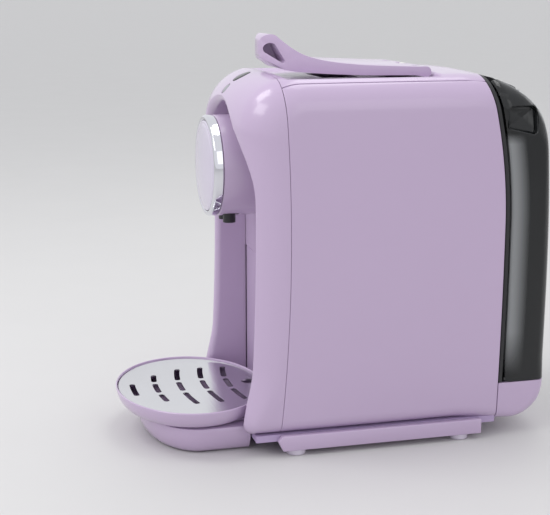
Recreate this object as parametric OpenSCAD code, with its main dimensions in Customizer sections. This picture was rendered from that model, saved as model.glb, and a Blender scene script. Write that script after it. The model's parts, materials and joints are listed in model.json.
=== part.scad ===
// Compact lever-type pod coffee machine.
// Millimetres, +Z up. The front faces -Y, the water tank is at +Y.
// The origin is the middle of the footprint, at the bottom of the feet.

/* [Body] */
// Width over the side panels
body_w = 150; // [144:1:156]
// Height of the top cover above the table
body_top = 251; // [248:1:254]
// Height of the underside of the side panels
body_low = 15; // [13:1:16]
// Thickness of the plastic panels
panel_t = 2.5; // [2:0.5:3]
// Radius of the long upper edges
edge_r = 25; // [20:1:28]
// Radius of the hood where the front turns into the top
hood_r = 36; // [34:1:38]
// Y of the joint between the front bezel and the side panels
bezel_y = -47; // [-48:0.5:-46]

/* [Cup niche] */
// Radius of the arch, half the width of the niche
arch_r = 60; // [56:1:61]
// Height of the arch centre
arch_z = 170; // [168:1:172]
// Y of the visible rear wall of the niche
niche_y = -42; // [-43:0.5:-41]

/* [Brew head] */
// Height of the brewing axis
brew_z = 187; // [186:0.5:188]
// Outer radius of the head
head_r = 34.4; // [33:0.2:35]
// Radius of the piston
piston_r = 20; // [19:0.5:20]

/* [Lever] */
// Width of the lever blade
lever_w = 90; // [84:1:96]
// Y of the lever pivot
pivot_y = 57.5; // [57:0.5:58]
// Height of the lever pivot
pivot_z = 250.5; // [250:0.25:250.75]

/* [Gears] */
// Module of the gear teeth
gear_m = 1.25; // [1.25:0.05:1.25]
// Teeth of the full circle that the lever's sector is cut from
sector_n = 30; // [30:1:30]
// Teeth of the idler gear
idler_n = 16; // [16:1:16]

/* [Water tank] */
// Height of the joint between the tank and the rear base
tank_z = 39; // [38:0.5:40]
// Wall of the tank
tank_t = 2.5; // [2:0.5:3]

/* [Drip tray] */
// Half width of the tray's rim
tray_rx = 66; // [62:1:66]
// Half depth of the tray's rim
tray_ry = 51.5; // [50:0.5:51.5]
// Height of the tray's rim
tray_z = 33; // [32:0.5:34]

/* [Hidden] */
half_w = body_w/2;
front_y = -79;              // crown of the hood at the middle plane
rear_y = 149;               // crown of the tank at the middle plane
hood_y = front_y + hood_r;
hood_z = body_top - hood_r;
joint_r = 365;              // radius of the leaning joint in front of the tank
joint_y = 105;              // Y of that joint below the bend
joint_z = 150;              // height where the joint starts to lean
top_x = 62;                 // half width of the top cover
tray_y = rear_y - 195 - tray_ry;   // centre of the tray's oval
ledge_z = 29.6;
recess_x = 56;
recess_z = 246.5;
recess_front = -48 + 2.5;
recess_rear = pivot_y + 4.5;
sector_r = gear_m*sector_n/2;
idler_r = gear_m*idler_n/2;
idler_z = pivot_z - sector_r - idler_r;
rack_z = idler_z - idler_r;
piston_front = -4;
piston_len = 44;
plate_x = 27;               // inner face of the brew frame's side plates
plate_t = 3;
valve_y = 124;
button_a = [64, 42];        // angle of each button round the hood
button_r = [6.5, 4];
gland_x = -45;
gland_z = 24.4;
tank_gap = 3.8;             // from the panel joint to the tank's front wall
nose_y = -42.2;              // middle of the lever's hooked nose
lid_pin_y = 123;
lid_pin_z = 236.4;
meter = [-42, 78, 112];     // middle of the flow meter
hose_r = 2.4;               // outer radius of the water hoses
spacer_at = [[-26, 166], [76, 166], [78, 195], [-26, 228]];  // frame spacers, (y, z)
lilac = [0.76, 0.70, 0.81];
dark = [0.16, 0.16, 0.17];
smoke = [0.25, 0.26, 0.27, 0.6];
steel = [0.72, 0.72, 0.72];
eps = 0.01;

// ---------- helpers ----------

// Points of an arc in the plane, from angle a0 to angle a1
function arc(c, r, a0, a1, n=8) =
  [for (i = [0:n]) let (a = a0 + (a1 - a0)*i/n) [c[0] + r*cos(a), c[1] + r*sin(a)]];

// Turn an outline drawn in (y, z) into a slab across X
module across_x(w, x=0) {
  translate([x, 0, 0]) rotate([90, 0, 90]) linear_extrude(w, center=true) children();
}

// Turn an outline drawn in (x, z) into a slab from y0 to y1
module along_y(y0, y1) {
  translate([0, y1, 0]) rotate([90, 0, 0]) linear_extrude(y1 - y0) children();
}

// Box given by its low and high corners
module box(lo, hi) {
  translate(lo) cube(hi - lo);
}

// Round bar along X, Y or Z between two stations
module bar_x(x0, x1, y, z, r) {
  translate([x0, y, z]) rotate([0, 90, 0]) cylinder(h=x1 - x0, r=r, $fn=48);
}
module bar_y(y0, y1, x, z, r) {
  translate([x, y0, z]) rotate([-90, 0, 0]) cylinder(h=y1 - y0, r=r, $fn=64);
}
module bar_z(z0, z1, x, y, r) {
  translate([x, y, z0]) cylinder(h=z1 - z0, r=r, $fn=48);
}

// Smooth curve through a list of points, k steps to each span
function blend4(a, b, c, d, t) =
  ((2*b) + (c - a)*t + (2*a - 5*b + 4*c - d)*t*t + (3*b - a - 3*c + d)*t*t*t)/2;
function smooth(p, k=4) = let (n = len(p))
  concat([for (i = [0:n - 2]) for (j = [0:k - 1])
    blend4(p[max(i - 1, 0)], p[i], p[i + 1], p[min(i + 2, n - 1)], j/k)], [p[n - 1]]);

// Normals carried along a curve without twist
function unit(v) = v/norm(v);
function tangent(p, i) = unit(p[min(i + 1, len(p) - 1)] - p[max(i - 1, 0)]);
function carry(p, i, n) = i == len(p) ? [] :
  let (t = tangent(p, i), m = unit(n - (n*t)*t)) concat([[t, m]], carry(p, i + 1, m));

// Tube swept along the points p; side is a direction that no end points along
module pipe(route, r, side=[1, 0.1, 0.05], sides=8, steps=3) {
  p = smooth(route, steps);
  f = carry(p, 0, side);
  n = len(p) - 1;
  pts = [for (i = [0:n]) for (j = [0:sides - 1]) let (b = 360*j/sides)
    p[i] + r*cos(b)*f[i][1] + r*sin(b)*cross(f[i][0], f[i][1])];
  walls = [for (i = [0:n - 1]) for (j = [0:sides - 1])
    [(i + 1)*sides + j, (i + 1)*sides + (j + 1)%sides, i*sides + (j + 1)%sides, i*sides + j]];
  ends = [[for (j = [0:sides - 1]) j], [for (j = [sides - 1:-1:0]) n*sides + j]];
  polyhedron(points=pts, faces=concat(walls, ends));
}

// Involute spur gear outline: n teeth, flanks thinned by slack degrees
function inv_deg(a) = tan(a)*180/PI - a;
function tooth_half(n, r, slack) =
  let (rp = gear_m*n/2, rb = rp*cos(20))
  90/n + inv_deg(20) - inv_deg(r > rb ? acos(rb/r) : 0) - slack;
function tooth(n, k, slack) =
  let (rp = gear_m*n/2, rb = rp*cos(20), rf = rp - 1.25*gear_m, ra = rp + 0.9*gear_m,
       r0 = max(rb, rf) + 0.02,
       rs = [for (i = [0:4]) r0 + (ra - r0)*i/4],
       mid = 360*k/n)
  concat([[rf, mid - tooth_half(n, r0, slack)]],
         [for (r = rs) [r, mid - tooth_half(n, r, slack)]],
         [for (i = [4:-1:0]) [rs[i], mid + tooth_half(n, rs[i], slack)]],
         [[rf, mid + tooth_half(n, r0, slack)]]);
function polar(list) = [for (p = list) [p[0]*cos(p[1]), p[0]*sin(p[1])]];

// ---------- outlines of the casing ----------

// The joint in front of the tank, moved rearward by d
function joint_line(d) =
  arc([joint_y - joint_r + d, joint_z], joint_r, 0, asin((body_top + 4 - joint_z)/joint_r), 10);

// Seen from the side, (y, z)
module side_outline() {
  polygon(concat(
    [[front_y, body_low]],
    [[joint_y, body_low], [joint_y, 10], [118, 10]],
    arc([118, 38.5], 28.5, -90, 0, 8),
    [[rear_y - 1, tank_z + 25], [rear_y, 100]],
    arc([rear_y - 739, 100], 739, 0, 7.4, 4),
    arc([91, 200], body_top - 200, 8, 90, 10),
    arc([hood_y, hood_z], hood_r, 90, 180, 10)
  ));
}

// Seen from the front, (x, z)
module front_outline() {
  hull() {
    for (s = [-1, 1]) {
      translate([s*(half_w - edge_r), body_top - edge_r]) circle(edge_r, $fn=40);
      translate([s*(half_w - 9), 10 + 9]) circle(9, $fn=24);
    }
  }
}

// Seen from above, (x, y)
module plan_outline() {
  offset(r=18, $fn=40) offset(delta=-18)
    intersection() {
      square([body_w, 2*rear_y], center=true);
      translate([0, front_y + 229]) circle(229, $fn=180);
      translate([0, rear_y - 308]) circle(308, $fn=180);
    }
}

// The whole casing, shrunk inward by g
module casing(g=0) {
  intersection() {
    across_x(2*half_w) offset(delta=-g) side_outline();
    along_y(front_y - 5, rear_y + 5) offset(delta=-g) front_outline();
    linear_extrude(300) offset(delta=-g) plan_outline();
  }
}

// Everything ahead of the tank joint, moved rearward by d
module ahead_of_joint(d=0) {
  across_x(200) polygon(concat([[-200, -10], [joint_y + d, -10]], joint_line(d), [[-200, 300]]));
}

// The slice between two positions of the tank joint
module joint_slice(d0, d1) {
  difference() {
    ahead_of_joint(d1);
    ahead_of_joint(d0);
  }
}

module arch_2d(r) {
  translate([0, arch_z]) circle(r, $fn=96);
  translate([-r, 0]) square([2*r, arch_z]);
}

// ---------- casing parts ----------

module side_panel(s) {
  color(lilac) intersection() {
    difference() {
      casing();
      casing(panel_t);
    }
    ahead_of_joint(0);
    box([s > 0 ? top_x + 0.2 : -100, bezel_y + 0.2, body_low], [s > 0 ? 100 : -top_x - 0.2, 120, 260]);
  }
}
module side_panel_left() {
  side_panel(-1);
}
module side_panel_right() {
  side_panel(1);
}

// Axis of button i leaves the hood along its normal
module at_button(i, r) {
  translate([0, hood_y, hood_z]) rotate([90 - button_a[i], 0, 0])
    translate([0, 0, r]) children();
}

module front_bezel() {
  color(lilac) difference() {
    intersection() {
      difference() {
        casing();
        casing(panel_t);
      }
      box([-100, -100, body_low], [100, bezel_y, 260]);
    }
    along_y(-100, -40) arch_2d(arch_r);
    for (i = [0, 1]) at_button(i, hood_r - 5) cylinder(h=10, r=button_r[i] + 0.3, $fn=48);
  }
}

module niche_liner() {
  color(lilac) difference() {
    intersection() {
      casing(panel_t + 0.1);
      union() {
        difference() {
          along_y(-90, niche_y) arch_2d(arch_r + 2.5);
          along_y(-91, niche_y + 1) arch_2d(arch_r);
        }
        intersection() {
          along_y(niche_y, niche_y + 2.5) arch_2d(arch_r + 2.5);
          box([-80, -60, 118], [80, 0, 260]);
        }
      }
    }
    bar_y(-60, -20, 0, brew_z, head_r + 0.2);
  }
}

module top_cover() {
  floor_t = 2.5;
  color(lilac) difference() {
    union() {
      intersection() {
        difference() {
          casing();
          casing(panel_t);
        }
        ahead_of_joint(0);
        box([-top_x, bezel_y + 0.2, 225], [top_x, 120, 260]);
      }
      box([-recess_x - 2.5, recess_front - 1.3, recess_z - floor_t], [recess_x + 2.5, recess_rear + 2.5, body_top - 1]);
    }
    box([-recess_x, recess_front, recess_z], [recess_x, recess_rear, 270]);
    // capsule slot
    box([-21, -8, 230], [21, 19, 260]);
    // slot for the gear sector
    box([-5.5, 33, 230], [5.5, 79, 250]);
    // slots for the frame's ears
    for (s = [-1, 1]) box([s > 0 ? 26.5 : -30.5, pivot_y - 8, 230], [s > 0 ? 30.5 : -26.5, pivot_y + 4.4, 260]);
  }
}

module rear_base() {
  color(lilac) difference() {
    intersection() {
      difference() {
        casing();
        translate([0, 0, 0.02]) casing(panel_t);
      }
      box([-100, joint_y + 0.3, 9], [100, 160, tank_z - 0.2]);
    }
    bar_y(100, 160, gland_x, gland_z, 8.2);
  }
}

module tank_dock() {
  color(dark) difference() {
    union() {
      intersection() {
        casing(0.6);
        joint_slice(0.4, 3.2);
        box([-100, 60, tank_z], [100, 200, 249]);
      }
      intersection() {
        casing(panel_t + 0.2);
        joint_slice(0.4, 3.2);
        box([-100, 60, 33], [100, 200, tank_z + 1]);
      }
      // floor under the tank
      intersection() {
        casing(panel_t + 0.2);
        box([-100, joint_y + 0.4, 33], [100, 200, 36]);
      }
      // socket for the tank valve
      bar_z(24, 38, 0, valve_y, 9);
    }
    bar_z(27, 40, 0, valve_y, 6);
    bar_z(20, 28, 0, valve_y, 3.2);
  }
}

module base_plate() {
  color(dark) difference() {
    union() {
      box([-69, niche_y - 24, 10.2], [69, joint_y - 0.5, 14.8]);
      for (s = [-1, 1]) for (y = [30, 94]) bar_z(10.2, 30, s*52, y, 5);
    }
    for (s = [-1, 1]) for (y = [30, 94]) {
      bar_z(0, 26, s*52, y, 1.6);
      bar_z(0, 12, s*52, y, 4);
    }
  }
}

module skid(s) {
  color(lilac) difference() {
    across_x(15, s*(half_w - 7.5))
      polygon([[-48, 4], [93, 4], [93, 14.6], [-48, 14.9], [-52, 11]]);
    box([s > 0 ? 50 : -69.3, -60, 9.9], [s > 0 ? 69.3 : -50, 110, 20]);
  }
}
module skid_left() {
  skid(-1);
}
module skid_right() {
  skid(1);
}

module feet() {
  color([0.85, 0.83, 0.87]) for (s = [-1, 1]) for (y = [-38, 79]) {
    bar_z(0, 4, s*66, y, 6.5);
  }
}

// ---------- tray holder, tray, grate and bin ----------

module holder_2d(g) {
  rx = 58 - g;
  ry = 37.5 - g;
  translate([0, tray_y]) intersection() {
    scale([rx, ry]) circle(1, $fn=64);
    translate([-rx, -60]) square([2*rx, 60]);
  }
  translate([-rx, tray_y - eps]) square([2*rx, niche_y - 25 - tray_y]);
}

module tray_holder() {
  color(lilac) union() {
    translate([0, 0, 1]) linear_extrude(3) holder_2d(7);
    translate([0, 0, 4]) linear_extrude(5) holder_2d(3.5);
    translate([0, 0, 9]) linear_extrude(10) holder_2d(0);
    // floor of the niche and slides under the tray's tongue
    box([-58, niche_y - 26, 15], [58, niche_y, 19]);
    for (s = [-1, 1]) box([s > 0 ? 30 : -40, niche_y - eps, 15], [s > 0 ? 40 : -30, 18, 19]);
  }
}

// Bowl of revolution squeezed to the tray's oval
module oval() {
  translate([0, tray_y, 0]) scale([1, tray_ry/tray_rx, 1]) children();
}

module drip_tray() {
  k = tray_rx/66;
  color(lilac) union() {
    oval() rotate_extrude($fn=96) polygon(concat(
      [[0, 19.3], [52*k, 19.3]],
      arc([52*k, 33.3], 14, -90, -8, 6),
      [[66*k, tray_z], [64.6*k, tray_z], [64.6*k, ledge_z], [61.5*k, ledge_z - 0.6]],
      arc([50*k, 33.3], 12, -22, -90, 5),
      [[0, 21.3]]
    ));
    // tongue under the capsule bin
    difference() {
      box([-48, tray_y + 20, 19.3], [48, 18, 21.3]);
      oval() cylinder(h=40, r=50, $fn=96);
    }
  }
}

// One curved row of slots in the grate: two runs with a bridge between them
module slot_row(y, x0, x1) {
  bend = 170;
  intersection() {
    translate([0, y + bend]) difference() {
      circle(bend + 2, $fn=180);
      circle(bend - 2, $fn=180);
    }
    translate([x0, y - 6]) square([x1 - x0, 30]);
  }
}

module drip_grate() {
  k = tray_rx/66;
  color(steel) difference() {
    oval() translate([0, 0, ledge_z + 0.2]) cylinder(h=1.4, r=64*k, $fn=96);
    translate([0, 0, ledge_z - 1]) linear_extrude(4) {
      slot_row(-137, -13, 13);
      for (row = [[-121, 30], [-104, 40], [-87, 40], [-70, 38]]) {
        slot_row(row[0], -row[1], -14);
        slot_row(row[0], -10, 10);
        slot_row(row[0], 14, row[1]);
      }
    }
    // finger hole for lifting it out
    bar_z(20, 40, 0, -55, 5);
  }
}

module capsule_bin() {
  color(lilac) difference() {
    union() {
      box([-arch_r + 0.6, niche_y, 21.6], [arch_r - 0.6, niche_y + 2.5, 117.6]);
      box([-50, niche_y + 1, 21.6], [50, 20, 112]);
    }
    box([-48, niche_y + 2.5, 23.6], [48, 18, 130]);
  }
}

// ---------- brew head ----------

module head_shell() {
  color(lilac) difference() {
    bar_y(-78.4, -34, 0, brew_z, head_r);
    bar_y(-79, -33, 0, brew_z, head_r - 2.4);
    // opening for the spout
    box([-14, -75, 140], [14, -64, 170]);
  }
}

module head_ring() {
  color([0.8, 0.8, 0.82]) difference() {
    bar_y(-85, -78.8, 0, brew_z, head_r);
    bar_y(-86, -78, 0, brew_z, 31);
  }
}

module head_cap() {
  dome = 3.2;
  r = 30.8;
  big = (r*r + dome*dome)/(2*dome);
  color([0.93, 0.91, 0.95]) translate([0, -84.8, brew_z]) rotate([90, 0, 0]) union() {
    rotate_extrude($fn=96) polygon(concat([[0, -5], [r, -5], [r, 0]],
      arc([0, dome - big], big, acos(r/big), 90, 8)));
  }
}

module coffee_spout() {
  color(dark) difference() {
    union() {
      box([-13, -74, 155.5], [13, -65, 164]);
      for (s = [-1, 1]) bar_z(148.5, 156, s*7, -69.5, 4.3);
      // pipe back to the outlet plate
      bar_y(-66, -40.2, 0, 161, 4);
    }
    for (s = [-1, 1]) bar_z(140, 162, s*7, -69.5, 2.6);
    box([-9.6, -71.5, 158], [9.6, -67.5, 162]);
    bar_y(-70, -39, 0, 160.5, 2);
  }
}

module outlet_plate() {
  color(steel) difference() {
    union() {
      bar_y(-40, -33, 0, brew_z, 31);
      // needle that opens the pod
      bar_y(-33, -29.5, 0, brew_z, 2.5);
    }
    bar_y(-41, -38, 0, 161, 2);
    bar_y(-50, -20, 0, brew_z, 1);
  }
}

module outlet_gasket() {
  color([0.5, 0.2, 0.15]) difference() {
    bar_y(-33, -31.2, 0, brew_z, 19);
    bar_y(-34, -30, 0, brew_z, 15);
  }
}

// ---------- brew unit ----------

module brew_plate(s) {
  x = s*(plate_x + plate_t/2);
  color(steel) difference() {
    union() {
      across_x(plate_t, x) polygon([[-32.8, 160], [84, 160], [84, 212], [64, 232],
        [62, 242], [34, 242], [30, 236], [-32.8, 236]]);
      // ear that carries the lever pin
      across_x(plate_t, x) union() {
        translate([pivot_y, pivot_z]) circle(3.6, $fn=40);
        translate([pivot_y - 3.6, 230]) square([7.2, pivot_z - 230]);
      }
    }
    bar_x(-60, 60, pivot_y, pivot_z, 2);
    bar_x(-60, 60, pivot_y, idler_z, 2);
    for (p = spacer_at) bar_x(-60, 60, p[0], p[1], 2);
  }
}
module brew_frame_left() {
  brew_plate(-1);
}
module brew_frame_right() {
  brew_plate(1);
}

module frame_spacers() {
  color(steel) for (p = spacer_at) {
    bar_x(-plate_x, plate_x, p[0], p[1], 3.5);
    bar_x(-plate_x - plate_t, plate_x + plate_t, p[0], p[1], 2);
  }
}

module brew_sleeve() {
  color([0.3, 0.3, 0.32]) difference() {
    union() {
      bar_y(24, 50, 0, brew_z, 24);
      // lugs to the side plates
      box([-plate_x, 26, brew_z - 8], [plate_x, 48, brew_z + 8]);
      // water inlet, lined up with the piston's port when closed
      bar_z(brew_z - 33, brew_z - 22, 0, 34, 4);
    }
    bar_y(20, 60, 0, brew_z, piston_r + 0.06);
    box([-5.5, 20, brew_z + 10], [5.5, 60, 230]);
    bar_z(140, brew_z - 10, 0, 34, 2);
  }
}

module capsule_chute() {
  color(dark) difference() {
    box([-22.5, -9.5, 210], [22.5, 20.5, recess_z - 2.6]);
    box([-21, -8, 200], [21, 19, 260]);
  }
}

module idler_shaft() {
  color(steel) bar_x(-plate_x - plate_t, plate_x + plate_t, pivot_y, idler_z, 2);
}

module lever_pin() {
  color(steel) bar_x(-lever_w/2 + 4, lever_w/2 - 4, pivot_y, pivot_z, 2);
}

// Gear outlines lie in a plane seen from +X, angle 0 along +Y
module lever_gear() {
  slack = 0.35;
  color([0.85, 0.85, 0.83]) difference() {
    union() {
      // sector teeth from just ahead of the bottom to the rear
      across_x(8) translate([pivot_y, pivot_z]) polygon(polar(concat(
        [[3.5, -98], [sector_r - 1.25*gear_m, -98]],
        [for (k = [0:6]) each [for (p = tooth(sector_n, k, slack)) [p[0], p[1] - 90]]],
        [[sector_r - 1.25*gear_m, -11], [3.5, -11]])));
      bar_x(-4, 4, pivot_y, pivot_z, 3.8);
    }
    bar_x(-10, 10, pivot_y, pivot_z, 2.05);
  }
}

module idler_gear() {
  slack = 0.55;
  color([0.85, 0.85, 0.83]) difference() {
    across_x(8) translate([pivot_y, idler_z]) polygon(polar(
      [for (k = [0:idler_n - 1]) each [for (p = tooth(idler_n, k + 0.5, slack)) [p[0], p[1] + 90]]]));
    bar_x(-10, 10, pivot_y, idler_z, 2.05);
  }
}

// Rack tooth centred at y
module rack_tooth(y) {
  p = PI*gear_m;
  base = p/4 + 1.25*gear_m*tan(20) - 0.12;
  tip = p/4 - 0.9*gear_m*tan(20) - 0.12;
  across_x(8) translate([y, rack_z])
    polygon([[-base, -1.25*gear_m], [base, -1.25*gear_m], [tip, 0.9*gear_m], [-tip, 0.9*gear_m]]);
}

module brew_piston() {
  color([0.82, 0.82, 0.8]) difference() {
    union() {
      bar_y(piston_front, piston_front + piston_len, 0, brew_z, piston_r);
      // rack bar on top
      box([-4, 22, brew_z + 14], [4, 66, rack_z - 1.25*gear_m + eps]);
      for (k = [-8:2]) rack_tooth(pivot_y + k*PI*gear_m);
    }
    // hollow back
    bar_y(12, 60, 0, brew_z, piston_r - 4);
    // water port and pod cup
    bar_y(piston_front - 1, 14, 0, brew_z, 1.5);
    bar_y(piston_front - 1, piston_front + 2, 0, brew_z, 15);
    // groove for the seal
    difference() {
      bar_y(2, 5, 0, brew_z, piston_r + 1);
      bar_y(1, 6, 0, brew_z, piston_r - 2);
    }
  }
}

module piston_seal() {
  color([0.5, 0.2, 0.15]) difference() {
    bar_y(2, 5, 0, brew_z, piston_r - 0.2);
    bar_y(1, 6, 0, brew_z, piston_r - 2);
  }
}

// ---------- water circuit and electrics ----------

module boiler() {
  color([0.7, 0.71, 0.72]) difference() {
    union() {
      box([-30, 34, 100], [30, 88, 132]);
      for (x = [-24:8:24]) box([x - 1.2, 36, 132], [x + 1.2, 86, 138]);
      bar_z(132, 146, 16, 30 + 10, 5);
      bar_z(92, 100, -16, 80, 5);
    }
    bar_z(120, 150, 16, 40, 3);
    bar_z(85, 110, -16, 80, 3);
    for (s = [-1, 1]) bar_x(s > 0 ? 20 : -40, s > 0 ? 40 : -20, 61, 116, 2);
  }
}

module thermostat() {
  color([0.9, 0.88, 0.8]) union() {
    bar_x(30, 38, 74, 118, 7);
    box([38, 70, 115], [41, 72, 121]);
    box([38, 76, 115], [41, 78, 121]);
  }
}

module pump() {
  color([0.75, 0.6, 0.3]) union() {
    bar_x(-38, 12, 62, 48, 18);
    box([-30, 41, 27], [4, 83, 69]);
    bar_x(12, 40, 62, 48, 9);
    bar_x(40, 50, 62, 48, 4);
    bar_x(-50, -38, 62, 48, 6);
    bar_x(-56, -50, 62, 48, 3.4);
  }
}

module pump_mounts() {
  color(dark) for (x = [-46, 30]) difference() {
    box([x - 3, 46, 14.8], [x + 3, 78, 64]);
    bar_x(-60, 60, 62, 48, x > 0 ? 9 : 6);
  }
}

module flow_meter() {
  color([0.92, 0.92, 0.9]) translate(meter) difference() {
    union() {
      rotate([0, 90, 0]) cylinder(h=14, r=16, $fn=64, center=true);
      // outlet to the front and inlet from below
      translate([0, -22, -8]) rotate([-90, 0, 0]) cylinder(h=12, r=4, $fn=32);
      translate([0, 8, -24]) cylinder(h=14, r=4, $fn=32);
    }
    translate([3, 0, 0]) rotate([0, 90, 0]) cylinder(h=14, r=13.5, $fn=64, center=true);
    translate([0, -30, -8]) rotate([-90, 0, 0]) cylinder(h=24, r=2, $fn=32);
    translate([0, 8, -30]) cylinder(h=24, r=2, $fn=32);
    // pivot for the rotor
    rotate([0, 90, 0]) cylinder(h=30, r=1.5, $fn=32, center=true);
  }
}

module flow_meter_cover() {
  color([0.92, 0.92, 0.9]) translate(meter) difference() {
    translate([7, 0, 0]) rotate([0, 90, 0]) cylinder(h=2.5, r=16, $fn=64);
    translate([6, 0, 0]) rotate([0, 90, 0]) cylinder(h=10, r=1.5, $fn=32);
  }
}

module flow_rotor() {
  color([0.2, 0.3, 0.5]) translate(meter + [1.5, 0, 0]) union() {
    for (k = [0:5]) rotate([k*60, 0, 0]) box([-3.5, -0.8, 2], [3.5, 0.8, 11.5]);
    rotate([0, 90, 0]) cylinder(h=7, r=3.5, $fn=32, center=true);
    rotate([0, 90, 0]) translate([0, 0, -8]) cylinder(h=15.6, r=1.44, $fn=32);
  }
}

module control_board() {
  color([0.1, 0.4, 0.2]) union() {
    box([61, 34, 70], [62.6, 96, 150]);
    box([50, 42, 80], [61, 60, 96]);
    box([52, 66, 110], [61, 84, 128]);
    for (z = [90:14:132]) bar_x(48, 61, 90, z, 4);
    box([54, 38, 132], [61, 58, 142]);
    // standoffs to the panel
    for (y = [38, 92]) for (z = [74, 146]) bar_x(62.6, half_w - panel_t - 0.1, y, z, 3);
  }
}

module button_board() {
  board_r = hood_r - 8.5;   // how far the board lies from the hood's centre line
  mid_a = (button_a[0] + button_a[1])/2;
  color([0.1, 0.4, 0.2]) union() {
    translate([0, hood_y, hood_z]) rotate([90 - mid_a, 0, 0])
      box([-14, -6.8, board_r], [14, 6.8, board_r + 1]);
    for (i = [0, 1]) at_button(i, board_r + 0.2) cylinder(h=1.8, r=2, $fn=32);
  }
}

module suction_hose() {
  color([0.8, 0.8, 0.78, 0.7])
    pipe([[0, valve_y, 26.8], [0, valve_y, 22.8], [-2, 123.6, 20.5], [-13, 119, 20], [-26, 108, 21.5],
          [-34, 97, 26], [-40, 88, 46], [meter[0], 86, 66], [meter[0], 86, 80], [meter[0], 86, 87.7]], hose_r);
}

module pump_hose() {
  color([0.8, 0.8, 0.78, 0.7])
    pipe([[meter[0], 55.6, 104], [meter[0], 53, 104], [-43, 46, 101], [-50, 40, 88], [-61, 42, 70],
          [-66, 52, 55], [-65, 60, 49], [-60, 62, 48], [-56.4, 62, 48]], hose_r);
}

module pressure_hose() {
  color([0.95, 0.95, 0.95])
    pipe([[51, 62, 48], [55, 63, 49], [54, 74, 58], [36, 88, 74], [8, 92, 80], [-12, 86, 80],
          [-16, 80, 85], [-16, 80, 91]], hose_r);
}

module brew_hose() {
  color([0.95, 0.95, 0.95])
    pipe([[16, 40, 140], [16, 40, 147], [13, 38, 150.5], [6, 35, 149], [1, 34, 150], [0, 34, 153.9]], 1.9,
         side=[0.1, 1, 0.05]);
}

module dock_seal() {
  color([0.5, 0.2, 0.15]) difference() {
    bar_z(30, 36.5, 0, valve_y, 6);
    bar_z(29, 38, 0, valve_y, 4.4);
  }
}

module cord_gland() {
  color(dark) difference() {
    union() {
      bar_y(116, 146.5, gland_x, gland_z, 8);
      bar_y(146.5, 148, gland_x, gland_z, 10);
    }
    bar_y(100, 160, gland_x, gland_z, 3.5);
  }
}

module base_screws() {
  color(steel) for (s = [-1, 1]) for (y = [30, 94]) union() {
    bar_z(9.8, 12, s*52, y, 3.2);
    bar_z(11, 25, s*52, y, 1.6);
  }
}

// ---------- lever ----------

// Side profile of the blade with its hooked nose
module lever_2d() {
  polygon(concat(
    arc([pivot_y, pivot_z], 3.8, -90, 90, 8),
    [[35, 255], [8.5, 256.3], [-10.4, 258.5], [-23, 262], [-31, 267], [-37.5, 272.5]],
    arc([nose_y, 269.6], 5.6, 68, 180, 6),
    arc([nose_y + 0.8, 263.6], 6.6, 190, 238, 4),
    [[-39.6, 254.9], [-34.5, 252.3], [-26.3, 251], [-3.6, 249.8], [22, 249.2], [48, 249]]
  ));
}

// Plan of the blade, a tongue that narrows to the nose
module lever_plan() {
  half = lever_w/2;
  edge = [[half, 70], [half, 22], [half - 2, 8], [half - 7, -10], [half - 15, -26],
    [half - 25, -38], [half - 33, -44.5], [half - 39, -47.6]];
  polygon(concat(edge, [for (i = [len(edge) - 1:-1:0]) [-edge[i][0], edge[i][1]]]));
}

// Finger hollow in each flank of the nose
module loop_2d() {
  hull() {
    translate([nose_y, 265.6]) circle(3.9, $fn=24);
    translate([nose_y + 6.6, 257.6]) circle(1.3, $fn=16);
  }
}

module lever_handle() {
  web_t = 3;
  color(lilac) difference() {
    intersection() {
      across_x(lever_w) lever_2d();
      linear_extrude(300) lever_plan();
    }
    for (s = [-1, 1]) across_x(lever_w/2, s*(lever_w/4 + web_t/2)) loop_2d();
    // gaps for the frame's ears and for the gear
    for (s = [-1, 1]) box([s > 0 ? 26.6 : -30.4, pivot_y - 5, 240], [s > 0 ? 30.4 : -26.6, 70, 260]);
    box([-4.3, pivot_y - 5, 240], [4.3, 70, 260]);
    bar_x(-60, 60, pivot_y, pivot_z, 2.05);
  }
}

// ---------- water tank ----------

module tank_body(g) {
  intersection() {
    casing(g);
    difference() {
      box([-100, 60, tank_z + 0.4 + g], [100, 200, 260]);
      ahead_of_joint(tank_gap + g);
    }
  }
}

// Finger recess in the tank's flank, (y, z)
module grip_2d() {
  offset(r=3, $fn=24) offset(delta=-3) polygon([[105.5, 229.5], [127, 229.5], [127, 209], [105.5, 214]]);
}

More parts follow.
